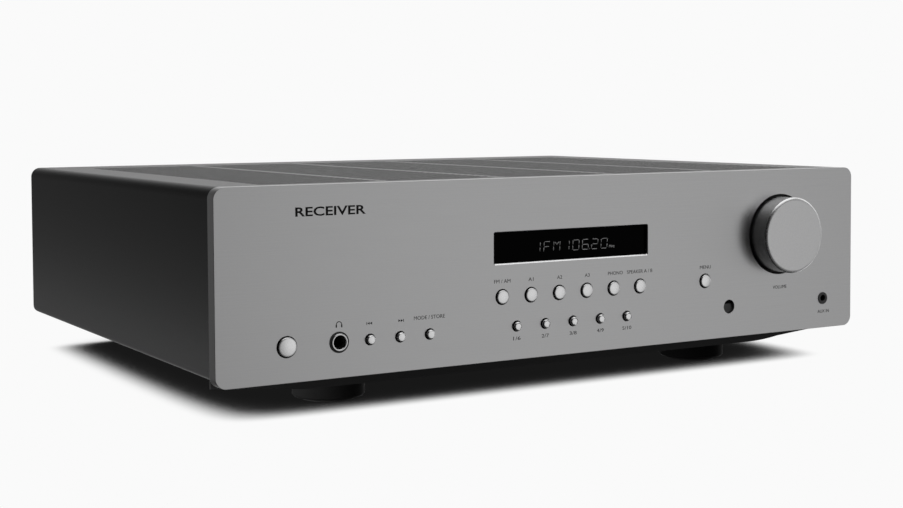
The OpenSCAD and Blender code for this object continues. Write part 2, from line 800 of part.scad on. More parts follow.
// Spring lever of an aerial clip, at rest against the housing
module aerial_lever(s) {
  x = am_at[0] + s * 5.5;
  color("black") translate([0, am_end - 3, am_at[1] - 1.5]) {
    translate([x - 3.1, 0, 0]) rotate([90, 0, 90]) linear_extrude(6.2)
      polygon([[-1.6, 0], [1.2, -1.6], [2.6, 0], [2.8, 10], [3.6, 12.6], [2, 12.6], [0, 9], [-1.6, 9]]);
    rotate([0, 90, 0]) disc(lever_pin_r, x - 4.3, x + 4.3);
  }
}

// Moulded plate that insulates the binding posts from the rear panel
module terminal_plate() {
  x0 = post_columns[0] - 10;
  x1 = post_columns[3] + 10;
  color([0.12, 0.12, 0.12]) difference() {
    translate([(x0 + x1) / 2, plate_y1, (post_rows[0] + post_rows[1]) / 2]) rotate([90, 0, 0])
      linear_extrude(plate_y1 - rear_y1)
        round_rect(x1 - x0, post_rows[1] - post_rows[0] + 22, 3);
    for (p = post_at) on_rear(p, rear_y1 - 1) disc(post_r, 0, 5);
  }
}

// Eight hollow metal posts, each on a flange against the plate
module binding_posts() {
  color("gold") for (p = post_at) on_rear(p, 0) difference() {
    union() {
      disc(post_r, rear_y0 - 10, post_end);
      disc(post_r + 2, plate_y1, plate_y1 + 1);
    }
    disc(banana_r, plate_y1 - 2, post_end + 1);
  }
}

// Screw cap of a binding post, with a knurled grip and a hole for the plug
module post_cap(i) {
  p = post_at[i - 1];
  color(i % 2 == 1 ? "firebrick" : [0.1, 0.1, 0.1]) on_rear(p, 0) difference() {
    disc(post_cap_r, cap_y0, cap_y1);
    disc(post_r + shaft_fit, cap_y0 - 1, post_end + 0.4);
    disc(banana_r + 0.3, post_end, cap_y1 + 1);
    for (k = [0:11]) rotate(k * 30) translate([post_cap_r + 0.3, 0, cap_y0 + 2])
      cylinder(r = 0.8, h = cap_y1 - cap_y0, $fn = 16);
  }
}

module ground_nut() {
  color("silver") on_rear(ground_at, 0) difference() {
    union() {
      disc(5, rear_y1 + 3, rear_y1 + 9);
      disc(3.6, rear_y1 + 1.6, rear_y1 + 3 + e);
    }
    disc(ground_r + shaft_fit, rear_y1, rear_y1 + 12);
    for (k = [0:17]) rotate(k * 20) translate([5.2, 0, rear_y1 + 2])
      cylinder(r = 0.5, h = 10, $fn = 16);
  }
}

// Mains inlet and the frame of the power switch, moulded in one
module mains_inlet() {
  x = inlet_at[0];
  z = inlet_at[1];
  color([0.1, 0.1, 0.1]) difference() {
    union() {
      translate([x, rear_y1 + 2.5, z]) rotate([90, 0, 0]) linear_extrude(2.5)
        round_rect(inlet_w, inlet_h, 3);
      block([x - inlet_w / 2 + 2.2, rear_y1 - 24, z - inlet_h / 2 + 2.2],
            [x + inlet_w / 2 - 2.2, rear_y1 + e, z + inlet_h / 2 - 2.2]);
    }
    // hollow for the plug, with its two cut corners
    translate([x, rear_y1 + 3, z + iec_dz]) rotate([90, 0, 0]) linear_extrude(iec_depth + 0.5)
      polygon([
        [-iec_w / 2, iec_h / 2], [-iec_w / 2, -iec_h / 2 + 5], [-iec_w / 2 + 5, -iec_h / 2],
        [iec_w / 2 - 5, -iec_h / 2], [iec_w / 2, -iec_h / 2 + 5], [iec_w / 2, iec_h / 2]
      ]);
    // well for the rocker and the bores of its pivot
    block([x - rocker_w / 2 - 0.4, rear_y1 - 12, z + rocker_dz - rocker_h / 2 - 0.6],
          [x + rocker_w / 2 + 0.4, rear_y1 + 3, z + rocker_dz + rocker_h / 2 + 0.6]);
    translate([0, rocker_y, z + rocker_dz]) rotate([0, 90, 0])
      disc(rocker_pin_r + shaft_fit, x - rocker_w / 2 - 2.4, x + rocker_w / 2 + 2.4);
  }
  // contact blades
  color("silver") for (b = [[-7, 0], [7, 0], [0, 3.5]])
    block([x + b[0] - 1, rear_y1 - 20, z + iec_dz + b[1] - 2],
          [x + b[0] + 1, rear_y1 - 4, z + iec_dz + b[1] + 2]);
}

// Rocker of the power switch, tipped with its lower half pressed in
module power_rocker() {
  half = rocker_h / 2 - 0.3;
  color([0.15, 0.15, 0.15]) translate([inlet_at[0], rocker_y, inlet_at[1] + rocker_dz])
    rotate([-rocker_tilt, 0, 0]) {
      translate([-rocker_w / 2 + 0.2, 0, 0]) rotate([90, 0, 90]) linear_extrude(rocker_w - 0.4)
        polygon([
          [-5, 0], [-1, -half], [4.8, -half], [3.6, 0], [4.8, half], [-1, half]
        ]);
      rotate([0, 90, 0]) disc(rocker_pin_r, -rocker_w / 2 - 2, rocker_w / 2 + 2);
    }
}

// ---------------------------------------------------------------- the parts

front_panel();
front_subframe();
display_window();
display_module();
remote_window();
headphone_jack();
aux_jack();
front_board();
tact_switches();
volume_encoder();
volume_knob();
volume_shaft();
power_button();
source_button(1);  // source_button_1
source_button(2);  // source_button_2
source_button(3);  // source_button_3
source_button(4);  // source_button_4
source_button(5);  // source_button_5
source_button(6);  // source_button_6
preset_button(1);  // preset_button_1
preset_button(2);  // preset_button_2
preset_button(3);  // preset_button_3
preset_button(4);  // preset_button_4
preset_button(5);  // preset_button_5
skip_back_button();
skip_forward_button();
mode_button();
menu_button();
top_cover();
chassis_tray();
rear_panel();
feet();
foot_pads();
case_screws();
main_board();
heatsink();
output_transistors();
filter_capacitors();
speaker_relays();
power_transformer();
transformer_clamp();
tuner_module();
ribbon_cable();
phono_sockets();
aerial_terminals();
terminal_plate();
binding_posts();
post_cap(1);  // post_cap_1
post_cap(2);  // post_cap_2
post_cap(3);  // post_cap_3
post_cap(4);  // post_cap_4
post_cap(5);  // post_cap_5
post_cap(6);  // post_cap_6
post_cap(7);  // post_cap_7
post_cap(8);  // post_cap_8
ground_nut();
aerial_lever(-1);  // aerial_lever_1
aerial_lever(1);  // aerial_lever_2
mains_inlet();
power_rocker();
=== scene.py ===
"""Looks of the stereo receiver: fine pieces, materials, floor, light and camera round the CAD frame.

Everything is in metres in the frame of the CAD model: +X to the right, the front faces -Y, +Z up.
"""
import json
import math

import bmesh
import bpy
from mathutils import Matrix, Vector


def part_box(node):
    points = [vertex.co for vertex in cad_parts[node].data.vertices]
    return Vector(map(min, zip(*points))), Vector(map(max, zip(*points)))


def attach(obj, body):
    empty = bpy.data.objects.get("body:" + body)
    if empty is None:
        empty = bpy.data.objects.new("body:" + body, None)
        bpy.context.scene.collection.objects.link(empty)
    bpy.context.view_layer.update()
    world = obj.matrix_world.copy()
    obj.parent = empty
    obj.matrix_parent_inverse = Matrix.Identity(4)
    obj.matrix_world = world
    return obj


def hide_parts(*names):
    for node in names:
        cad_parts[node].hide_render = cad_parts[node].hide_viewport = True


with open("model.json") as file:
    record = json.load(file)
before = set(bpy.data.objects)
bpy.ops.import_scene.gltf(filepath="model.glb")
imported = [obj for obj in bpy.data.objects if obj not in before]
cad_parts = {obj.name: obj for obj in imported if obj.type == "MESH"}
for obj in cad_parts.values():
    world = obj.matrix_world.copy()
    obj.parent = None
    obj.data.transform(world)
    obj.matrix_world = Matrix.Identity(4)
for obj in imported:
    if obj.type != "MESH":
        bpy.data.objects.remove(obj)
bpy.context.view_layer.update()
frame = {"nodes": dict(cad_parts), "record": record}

MM = 0.001
BODY = "chassis"

# ------------------------------------------------------------------ camera


CAMERA_AT = (-0.49433, -0.86149, 0.15726)
CAMERA_AHEAD = Vector((0.51071627, 0.85845828, -0.04709853))
CAMERA_RIGHT = Vector((0.85927885, -0.51148236, -0.00506552))
FOCAL_MM = 60.68
SENSOR_MM = 36
SHIFT_Y = -0.0797


def add_camera():
    """The view of a person at the left of the front, a little above the top."""
    cam = bpy.data.cameras.new("camera")
    cam.sensor_width = SENSOR_MM
    cam.lens = FOCAL_MM
    cam.shift_y = SHIFT_Y
    cam.clip_start = 0.05
    cam.clip_end = 60
    obj = bpy.data.objects.new("camera", cam)
    bpy.context.scene.collection.objects.link(obj)
    turn = Matrix((CAMERA_RIGHT, CAMERA_RIGHT.cross(CAMERA_AHEAD), -CAMERA_AHEAD)).transposed()
    obj.matrix_world = Matrix.Translation(CAMERA_AT) @ turn.to_4x4()
    bpy.context.scene.camera = obj


add_camera()

# ------------------------------------------------------------------ places, taken from the frame

PANEL_LOW, PANEL_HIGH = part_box("front_panel")
FRONT_Y = PANEL_LOW.y
PANEL_W = PANEL_HIGH.x - PANEL_LOW.x
PANEL_H = PANEL_HIGH.z - PANEL_LOW.z
PANEL_T = PANEL_HIGH.y - PANEL_LOW.y
PANEL_MID = (PANEL_LOW + PANEL_HIGH) / 2
REAR_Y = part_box("rear_panel")[1].y


def middle(name):
    """Middle of a CAD node's box, as (x, z)."""
    low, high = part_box(name)
    return (low.x + high.x) / 2, (low.z + high.z) / 2


SOURCE_BUTTONS = [f"source_button_{i}" for i in range(1, 7)] + ["menu_button"]
SMALL_BUTTONS = [f"preset_button_{i}" for i in range(1, 6)]
SMALL_BUTTONS += ["skip_back_button", "skip_forward_button", "mode_button"]
KNOB_AT = middle("volume_knob")
PHONES_AT = middle("headphone_jack")
AUX_AT = middle("aux_jack")
SENSOR_AT = middle("remote_window")
WINDOW_AT = middle("display_window")

# Sizes as in the CAD model, for what the boxes don't say
SOURCE_R = 3.75 * MM
SMALL_R = 2.45 * MM
POWER_R = 5.0 * MM
HOLE_GAP = 0.6 * MM
SENSOR_R = 4.1 * MM
PHONES_HOLE_R = 4.7 * MM
PHONES_BORE_R = 3.2 * MM
AUX_HOLE_R = 3.0 * MM
AUX_BORE_R = 1.78 * MM
KNOB_R = 23 * MM
KNOB_OUT = 13 * MM
KNOB_GAP = 1.5 * MM
KNOB_RECESS = 4 * MM
BUSH_HOLE_R = 4.7 * MM
WINDOW_W = 105.2 * MM
WINDOW_H = 17.3 * MM
WINDOW_R = 1 * MM
WINDOW_SET = 2 * MM
WINDOW_LAP = 1.7 * MM
PANEL_R = 6 * MM
SUB_Z = 11 * MM

# ------------------------------------------------------------------ node helpers


def new_material(name):
    """A material with its node tree and its principled shader."""
    mat = bpy.data.materials.new(name)
    mat.use_nodes = True
    tree = mat.node_tree
    return mat, tree, tree.nodes["Principled BSDF"]


def add_node(tree, kind, **inputs):
    """Adds a shader node. Its inputs are set by name, with _ for a space."""
    made = tree.nodes.new(kind)
    for key, value in inputs.items():
        made.inputs[key.replace("_", " ")].default_value = value
    return made


def noise(tree, grain, detail=2.0):
    """Noise in object space. grain is its number of cells a metre along X, Y and Z."""
    where = tree.nodes.new("ShaderNodeTexCoord")
    mapping = tree.nodes.new("ShaderNodeMapping")
    mapping.inputs["Scale"].default_value = grain
    made = add_node(tree, "ShaderNodeTexNoise", Scale=1.0, Detail=detail)
    tree.links.new(where.outputs["Object"], mapping.inputs["Vector"])
    tree.links.new(mapping.outputs["Vector"], made.inputs["Vector"])
    return made.outputs["Fac"]


def spread(tree, source, low, high, start=0.3, end=0.7):
    """Maps a value between start and end to the range from low to high."""
    made = tree.nodes.new("ShaderNodeMapRange")
    for key, value in (("From Min", start), ("From Max", end), ("To Min", low), ("To Max", high)):
        made.inputs[key].default_value = value
    tree.links.new(source, made.inputs["Value"])
    return made.outputs["Result"]


def tint(tree, source, dark, light):
    """Mixes two colours by a value."""
    mix = tree.nodes.new("ShaderNodeMix")
    mix.data_type = "RGBA"
    mix.inputs["A"].default_value = (*dark, 1)
    mix.inputs["B"].default_value = (*light, 1)
    tree.links.new(spread(tree, source, 0, 1), mix.inputs["Factor"])
    return mix.outputs["Result"]


def grained(name, dark, light, rough, grain, depth, metallic=0.0, detail=3.0, rough_span=0.05,
            specular=0.5):
    """A material whose fine grain shows in its colour, its gloss and its relief."""
    mat, tree, shader = new_material(name)
    value = noise(tree, grain, detail)
    tree.links.new(tint(tree, value, dark, light), shader.inputs["Base Color"])
    tree.links.new(spread(tree, value, rough - rough_span, rough + rough_span), shader.inputs["Roughness"])
    relief = add_node(tree, "ShaderNodeBump", Strength=1.0, Distance=depth)
    tree.links.new(value, relief.inputs["Height"])
    tree.links.new(relief.outputs["Normal"], shader.inputs["Normal"])
    shader.inputs["Metallic"].default_value = metallic
    shader.inputs["Specular IOR Level"].default_value = specular
    return mat


def grey(value):
    """A neutral tone, very slightly cool."""
    return (value, value, value * 1.005)


def moulded(name, tone, rough=0.5, specular=0.5):
    """Moulded plastic with a fine spark-eroded grain."""
    light = tuple(c * 1.3 + 0.001 for c in tone)
    return grained(name, tone, light, rough, (3000, 3000, 3000), 0.006 * MM, specular=specular)


def polished(name, tone, rough=0.12, specular=0.5):
    """Smooth glossy plastic or glass."""
    light = tuple(c * 1.15 for c in tone)
    return grained(name, tone, light, rough, (400, 400, 400), 0.0005 * MM, rough_span=0.02,
                   specular=specular)


def plated(name, tone, rough=0.2):
    """Plated or bare metal with faint marks."""
    light = tuple(min(1.0, c * 1.1) for c in tone)
    return grained(name, tone, light, rough, (700, 700, 700), 0.001 * MM, metallic=1.0, rough_span=0.04)


# ------------------------------------------------------------------ materials


def brushed_aluminium():
    """Clear anodised plate, brushed along its length, with a fine speckle over the strokes."""
    mat, tree, shader = new_material("brushed_aluminium")
    strokes = noise(tree, (30, 700, 2600), 5.0)
    speckle = noise(tree, (1400, 1400, 1400), 2.0)
    both = add_node(tree, "ShaderNodeMix", Factor=0.35)
    tree.links.new(strokes, both.inputs["A"])
    tree.links.new(speckle, both.inputs["B"])
    value = both.outputs["Result"]
    tree.links.new(tint(tree, value, grey(0.655), grey(0.705)), shader.inputs["Base Color"])
    tree.links.new(spread(tree, value, 0.34, 0.40), shader.inputs["Roughness"])
    relief = add_node(tree, "ShaderNodeBump", Strength=1.0, Distance=0.0008 * MM)
    tree.links.new(value, relief.inputs["Height"])
    tree.links.new(relief.outputs["Normal"], shader.inputs["Normal"])
    shader.inputs["Metallic"].default_value = 1.0
    return mat


def turned_aluminium():
    """Clear anodised aluminium off the lathe."""
    return grained("turned_aluminium", grey(0.77), grey(0.84), 0.38, (1500, 1500, 1500), 0.002 * MM,
                   metallic=1.0)


def button_silver():
    """Satin silver coat on the button caps."""
    return grained("button_silver", grey(0.97), grey(0.99), 0.24, (2500, 2500, 2500), 0.0002 * MM,
                   metallic=1.0)


def powder_coat():
    """Fine textured dark coat on the steel cover."""
    return grained("powder_coat", grey(0.0085), grey(0.0125), 0.34, (2600, 2600, 2600), 0.01 * MM,
                   specular=0.06)


def circuit_board():
    """Solder mask with the faint pattern of the tracks beneath."""
    return grained("circuit_board", (0.010, 0.055, 0.022), (0.016, 0.085, 0.034), 0.4,
                   (260, 260, 260), 0.01 * MM, detail=5.0)


def wound_copper():
    """Enamelled windings round the core of the transformer."""
    return grained("wound_copper", (0.45, 0.20, 0.06), (0.72, 0.38, 0.13), 0.38, (1200, 1200, 60),
                   0.06 * MM, metallic=0.7, detail=1.0)


MAKERS = {
    "panel": brushed_aluminium,
    "moulding": lambda: moulded("dark_moulding", grey(0.012)),
    "acrylic": lambda: polished("smoked_acrylic", grey(0.0005), 0.1, 0.015),
    "tube": lambda: polished("tube_glass", grey(0.012), 0.1),
    "chrome": lambda: plated("chrome_plate", grey(0.72), 0.12),
    "socket": lambda: moulded("socket_black", grey(0.008), 0.45),
    "board": circuit_board,
    "switch": lambda: plated("switch_steel", grey(0.42), 0.35),
    "knob": turned_aluminium,
    "button": button_silver,
    "cover": powder_coat,
    "tray": lambda: moulded("tray_black", grey(0.010), 0.5, 0.25),
    "rear": lambda: moulded("rear_black", grey(0.016), 0.5),
    "foot": lambda: moulded("foot_black", grey(0.012), 0.7, 0.03),
    "pad": lambda: moulded("pad_rubber", grey(0.02), 0.8),
    "screw": lambda: plated("black_zinc", grey(0.10), 0.35),
    "sink": lambda: plated("extruded_aluminium", grey(0.50), 0.45),
    "epoxy": lambda: moulded("epoxy_black", grey(0.012), 0.5),
    "sleeve": lambda: polished("sleeve_blue", (0.010, 0.014, 0.05), 0.25),
    "relay": lambda: polished("relay_cream", (0.55, 0.54, 0.48), 0.3),
    "winding": wound_copper,
    "clamp": lambda: plated("zinc_plate", grey(0.60), 0.3),
    "can": lambda: plated("tinned_steel", grey(0.58), 0.3),
    "cable": lambda: moulded("cable_grey", grey(0.34), 0.5),
    "phono": lambda: moulded("phono_black", grey(0.015), 0.45),
    "aerial": lambda: moulded("aerial_black", grey(0.015), 0.45),
    "terminal": lambda: moulded("terminal_black", grey(0.012), 0.45),
    "post": lambda: plated("gold_plate", (0.85, 0.60, 0.24), 0.18),
    "cap_red": lambda: polished("cap_red", (0.33, 0.010, 0.012), 0.15),
    "cap_black": lambda: polished("cap_black", grey(0.010), 0.15),
    "inlet": lambda: moulded("inlet_black", grey(0.010), 0.5),
}
MATERIALS = {slot: make() for slot, make in MAKERS.items()}

# Finishes of details that have no slot of their own
# Bright cut metal: the real cut ring of the knob, and a painted highlight along the foot of the display
# opening
BRIGHT_CUT_AND_PAINTED_HIGHLIGHT = plated("bright_cut_and_painted_highlight", grey(0.88), 0.26)
# Darker copy of the panel aluminium for the plate's rim and rounded edges: painted shade
PANEL_RIM_PAINTED_SHADE = grained("panel_rim_painted_shade", grey(0.40), grey(0.46), 0.42, (1500, 1500, 1500), 0.001 * MM, metallic=1.0)
LEGEND_INK = moulded("legend_ink", grey(0.004), 0.7, 0.2)
# Pale grey of the display's segments and unit: painted glow of the lit readout, with no light of its own
SEGMENT_PAINTED_GLOW = moulded("segment_grey_painted_glow", grey(0.30), 0.5)
LEGEND_PALE = moulded("legend_pale", grey(0.55), 0.5)
INSERT_WHITE = moulded("insert_white", grey(0.65), 0.4)
LENS_GREY = moulded("lens_grey", grey(0.035), 0.35, 0.3)

SLOT_OF = {row["node"]: row["material_slot"] for row in frame["record"]["subparts"]}

for node_name, thing in frame["nodes"].items():
    thing.data.materials.clear()
    thing.data.materials.append(MATERIALS[SLOT_OF[node_name]])

# ------------------------------------------------------------------ mesh helpers


def place(name, bm, body, slot, nodes=(), materials=None):
    """Makes an object of a bmesh that rides on a body and stands for CAD nodes."""
    bmesh.ops.recalc_face_normals(bm, faces=bm.faces)
    for face in bm.faces:
        face.smooth = True
    mesh = bpy.data.meshes.new(name)
    bm.to_mesh(mesh)
    bm.free()
    for mat in materials or [MATERIALS[slot]]:
        mesh.materials.append(mat)
    obj = bpy.data.objects.new(name, mesh)
    bpy.context.scene.collection.objects.link(obj)
    weighted = obj.modifiers.new("weighted", "WEIGHTED_NORMAL")
    weighted.keep_sharp = True
    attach(obj, body)
    if nodes:
        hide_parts(*nodes)
    return obj


def fillet(path, steps=4):
    """Rounds the corners of a path of (radius, height, fillet radius) points."""
    out = []
    for i, (r, h, size) in enumerate(path):
        here = Vector((r, h))
        if size == 0 or i in (0, len(path) - 1):
            out.append((r, h))
            continue
        back = (Vector(path[i - 1][:2]) - here).normalized()
        ahead = (Vector(path[i + 1][:2]) - here).normalized()
        half = back.angle(ahead) / 2
        reach = size / math.tan(half)
        hub = here + (back + ahead).normalized() * (size / math.sin(half))
        start = here + back * reach - hub
        end = here + ahead * reach - hub
        sweep = start.angle_signed(end)
        for k in range(steps + 1):
            turn = Matrix.Rotation(-sweep * k / steps, 2)
            out.append(tuple(hub + turn @ start))
    return out


def add_lathe(bm, profile, at, y, out_y, steps, material=0):
    """Turns a profile of (radius, height) about an axis along Y. Heights point along out_y."""
    rings = []
    for r, h in profile:
        if r < 1e-7:
            rings.append([bm.verts.new((at[0], y + out_y * h, at[1]))])
            continue
        ring = []
        for k in range(steps):
            a = 2 * math.pi * k / steps
            ring.append(bm.verts.new((at[0] + r * math.cos(a), y + out_y * h, at[1] + r * math.sin(a))))
        rings.append(ring)
    faces = []
    for one, two in zip(rings, rings[1:]):
        for k in range(steps):
            a, b = one[k % len(one)], one[(k + 1) % len(one)]
            c, d = two[(k + 1) % len(two)], two[k % len(two)]
            corners = list(dict.fromkeys((a, b, c, d)))
            if len(corners) > 2:
                faces.append(bm.faces.new(corners))
    for face in faces:
        face.material_index = material
    return faces


def lathe(name, path, at, body, slot, nodes=(), y=None, out_y=-1, steps=64, materials=None):
    """A turned piece whose path is closed on its axis, or is a ring when it ends where it starts."""
    bm = bmesh.new()
    profile = fillet(path)
    add_lathe(bm, profile, at, FRONT_Y if y is None else y, out_y, steps)
    bmesh.ops.remove_doubles(bm, verts=bm.verts, dist=1e-7)
    return place(name, bm, body, slot, nodes, materials)


def circle(r, steps=48):
    """Outline of a circle, centred."""
    return [(r * math.cos(2 * math.pi * k / steps), r * math.sin(2 * math.pi * k / steps))
            for k in range(steps)]


def round_rect(w, h, r, steps=8):
    """Outline of a rectangle with round corners, centred."""
    out = []
    for quarter, (sx, sz) in enumerate(((1, 1), (-1, 1), (-1, -1), (1, -1))):
        for k in range(steps + 1):
            a = math.pi / 2 * (quarter + k / steps)
            out.append((sx * (w / 2 - r) + r * math.cos(a), sz * (h / 2 - r) + r * math.sin(a)))
    return out


def loop(bm, outline, at, y):
    """Vertices of an outline round a centre (x, z), in the plane at y."""
    return [bm.verts.new((at[0] + u, y, at[1] + v)) for u, v in outline]


def bridge(bm, one, two):
    """Joins two loops of the same number of points with quads."""
    count = len(one)
    for k in range(count):
        bm.faces.new((one[k], one[(k + 1) % count], two[(k + 1) % count], two[k]))


def fill(bm, loops, side):
    """Fills the plane between an outer loop and the holes in it."""
    edges = []
    for ring in loops:
        for k, vert in enumerate(ring):
            pair = (vert, ring[(k + 1) % len(ring)])
            edges.append(bm.edges.get(pair) or bm.edges.new(pair))
    bmesh.ops.triangle_fill(bm, edges=edges, use_beauty=True, normal=(0, side, 0))


def rounding(size, steps=4):
    """(inset, depth) of the rows of a quarter-round edge, from the face down."""
    angles = [math.pi / 2 * k / steps for k in range(steps + 1)]
    return [(size * (1 - math.sin(a)), size * (1 - math.cos(a))) for a in angles]


def walls(bm, outline, at, rows):
    """Loops of an outline function at (growth, depth) rows, joined; gives the first and the last."""
    loops = [loop(bm, outline(growth), at, FRONT_Y + depth) for growth, depth in rows]
    for one, two in zip(loops, loops[1:]):
        bridge(bm, one, two)
    return loops[0], loops[-1]


# ------------------------------------------------------------------ front panel

EDGE_R = 0.2 * MM
BACK_EDGE_R = 0.3 * MM
MOUTH_R = 0.15 * MM
RECESS_FLOOR_R = 0.3 * MM
WINDOW_EDGE = 0.3 * MM
FOOT_LIP = 0.65 * MM


def front_panel():
    """The aluminium plate with its rounded rim and every hole broken at the edge."""
    bm = bmesh.new()
    finishes = [MATERIALS["panel"], BRIGHT_CUT_AND_PAINTED_HIGHLIGHT, PANEL_RIM_PAINTED_SHADE, MATERIALS["moulding"]]
    at = (PANEL_MID.x, PANEL_MID.z)

    def rim(growth):
        return round_rect(PANEL_W + 2 * growth, PANEL_H + 2 * growth, PANEL_R + growth, 12)

    rows = [(-inset, depth) for inset, depth in rounding(EDGE_R, 6)]
    rows += [(-inset, PANEL_T - depth) for inset, depth in reversed(rounding(BACK_EDGE_R, 2))]
    face, back = walls(bm, rim, at, rows)
    faces, backs = [face], [back]
    # The rim and its roundings take the darker copy of the panel metal, painted shade along the plate's
    # edges
    for wall in bm.faces:
        wall.material_index = finishes.index(PANEL_RIM_PAINTED_SHADE)

    mouth = rounding(MOUTH_R, 3)
    through = mouth + [(0, PANEL_T)]
    holes = [(middle(name), SOURCE_R + HOLE_GAP) for name in SOURCE_BUTTONS]
    holes += [(middle(name), SMALL_R + HOLE_GAP) for name in SMALL_BUTTONS]
    holes += [(middle("power_button"), POWER_R + HOLE_GAP), (SENSOR_AT, SENSOR_R)]
    holes += [(PHONES_AT, PHONES_HOLE_R), (AUX_AT, AUX_HOLE_R)]
    for centre, radius in holes:
        face, back = walls(bm, lambda growth: circle(radius + growth), centre, through)
        faces.append(face)
        backs.append(back)

    recess = KNOB_R + KNOB_GAP
    rows = mouth
    rows += [(-inset, KNOB_RECESS - depth) for inset, depth in reversed(rounding(RECESS_FLOOR_R, 3))]
    rows += [(BUSH_HOLE_R - recess, KNOB_RECESS), (BUSH_HOLE_R - recess, PANEL_T)]
    known = set(bm.faces)
    face, back = walls(bm, lambda growth: circle(recess + growth, 128), KNOB_AT, rows)
    # Every face of the knob's recess, from its mouth to the bush hole, takes the dark moulding finish:
    # painted shade in the recess round the knob
    for wall in set(bm.faces) - known:
        wall.material_index = finishes.index(MATERIALS["moulding"])
    faces.append(face)
    backs.append(back)

    def opening(growth):
        return round_rect(WINDOW_W + 2 * growth, WINDOW_H + 2 * growth, WINDOW_R, 6)

    # The opening's edge is broken all round, and cut back further along its foot, where a brighter cut
    # metal adds a painted highlight
    x, z = WINDOW_AT
    lip = [bm.verts.new((x + u, FRONT_Y, z + v - (FOOT_LIP - WINDOW_EDGE if v < 0 else 0)))
           for u, v in opening(WINDOW_EDGE)]
    inner = [bm.verts.new((x + u, FRONT_Y + (FOOT_LIP if v < 0 else WINDOW_EDGE), z + v))
             for u, v in opening(0)]
    known = set(bm.faces)
    bridge(bm, lip, inner)
    # Lip faces along the foot take the brighter cut metal: a real chamfer with a painted highlight on it
    for wall in set(bm.faces) - known:
        if all(vert.co.z < z - WINDOW_H / 2 + WINDOW_R for vert in wall.verts):
            wall.material_index = finishes.index(BRIGHT_CUT_AND_PAINTED_HIGHLIGHT)
    rows = [(0, WINDOW_SET), (WINDOW_LAP, WINDOW_SET), (WINDOW_LAP, PANEL_T)]
    first, back = walls(bm, opening, WINDOW_AT, rows)
    bridge(bm, inner, first)
    for ring in (lip, inner):
        for k, vert in enumerate(ring):
            bm.edges.get((vert, ring[k - 1])).smooth = False
    faces.append(lip)
    backs.append(back)

    fill(bm, faces, -1)
    fill(bm, backs, 1)
    place("panel_plate", bm, BODY, "panel", ["front_panel"], finishes)


# ------------------------------------------------------------------ knob and buttons


KNOB_STEPS = 160


def volume_knob():
    """Turned knob: satin side and face, with a bright cut edge between them."""
    bm = bmesh.new()
    back = -3.3 * MM
    cut = 1.0 * MM
    soft = 0.12 * MM
    crown = 0.03 * MM
    side = fillet([(0, back, 0), (KNOB_R, back, 0.4 * MM), (KNOB_R, KNOB_OUT - cut, soft),
                   (KNOB_R - cut, KNOB_OUT, 0)])
    add_lathe(bm, side[:-1], KNOB_AT, FRONT_Y, -1, KNOB_STEPS, 0)
    add_lathe(bm, [side[-2], (KNOB_R - cut, KNOB_OUT)], KNOB_AT, FRONT_Y, -1, KNOB_STEPS, 1)
    face = [(KNOB_R - cut, KNOB_OUT), (KNOB_R - 2 * cut, KNOB_OUT + crown / 3),
            (KNOB_R / 2, KNOB_OUT + crown), (0, KNOB_OUT + crown)]
    add_lathe(bm, face, KNOB_AT, FRONT_Y, -1, KNOB_STEPS, 0)
    bmesh.ops.remove_doubles(bm, verts=bm.verts, dist=1e-7)
    place("knob_turned", bm, "volume_knob", "knob", ["volume_knob"], [MATERIALS["knob"], BRIGHT_CUT_AND_PAINTED_HIGHLIGHT])


def button(name, r, out, crown, edge):
    """A push button: crowned cap with a soft edge, stop flange and stem."""
    flange_r = r + 1.2 * MM
    flange_top = -SUB_Z - 0.2 * MM
    flange_low = flange_top - 1.5 * MM
    stem_r = 2 * MM
    stem_low = -16 * MM
    small = 0.2 * MM
    crown_at = [(r * k / 5, out - crown * (k / 5) ** 2, 0) for k in range(5)]
    path = crown_at + [(r, out - crown, edge), (r, flange_top, small), (flange_r, flange_top, small),
                       (flange_r, flange_low, small), (stem_r, flange_low, small),
                       (stem_r, stem_low, small), (0, stem_low, 0)]
    lathe(name + "_cap", path, middle(name), name, "button", [name])


def buttons():
    """Every push button, in its three sizes."""
    for name in SOURCE_BUTTONS:
        button(name, SOURCE_R, 1.3 * MM, 0.22 * MM, 0.45 * MM)
    for name in SMALL_BUTTONS:
        button(name, SMALL_R, 2.0 * MM, 0.12 * MM, 0.7 * MM)
    button("power_button", POWER_R, 1.5 * MM, 0.28 * MM, 0.5 * MM)


# ------------------------------------------------------------------ sockets and lens on the front


TUBE_DEEP = 20 * MM


def ring_path(outer, inner, low, high, edge, mouth):
    """Path of a ring: outer wall, rounded top, funnel to the bore, and back to the start."""
    return [(outer, low, 0), (outer, high, edge), (inner + mouth, high, edge), (inner, high - 2 * mouth, 0),
            (inner, low, 0), (outer, low, 0)]


def front_sockets():
    """Headphone socket with its plated ring in a dark collar that is painted shade for the gap round the
    ring, and the smaller auxiliary socket.
    """
    # Dark collar round the plated ring: painted shade standing for the shaded gap between ring and panel
    lathe("phones_collar_painted_shade", ring_path(5.5 * MM, 4.6 * MM, 0, 0.45 * MM, 0.15 * MM, 0.1 * MM), PHONES_AT,
          BODY, "socket")
    lathe("phones_ring", ring_path(4.65 * MM, 3.3 * MM, -2 * MM, 1.1 * MM, 0.45 * MM, 0.35 * MM),
          PHONES_AT, BODY, "chrome", ["headphone_jack"])
    tube = [(PHONES_BORE_R, 0.2 * MM, 0), (PHONES_BORE_R, -TUBE_DEEP, 0), (0, -TUBE_DEEP, 0)]
    lathe("phones_tube", tube, PHONES_AT, BODY, "socket")
    lathe("aux_ring", ring_path(3.75 * MM, AUX_BORE_R, -2 * MM, 0.4 * MM, 0.15 * MM, 0.3 * MM), AUX_AT,
          BODY, "socket", ["aux_jack"], materials=[LENS_GREY])
    tube = [(AUX_BORE_R, -0.3 * MM, 0), (AUX_BORE_R, -TUBE_DEEP, 0), (0, -TUBE_DEEP, 0)]
    lathe("aux_tube", tube, AUX_AT, BODY, "socket")


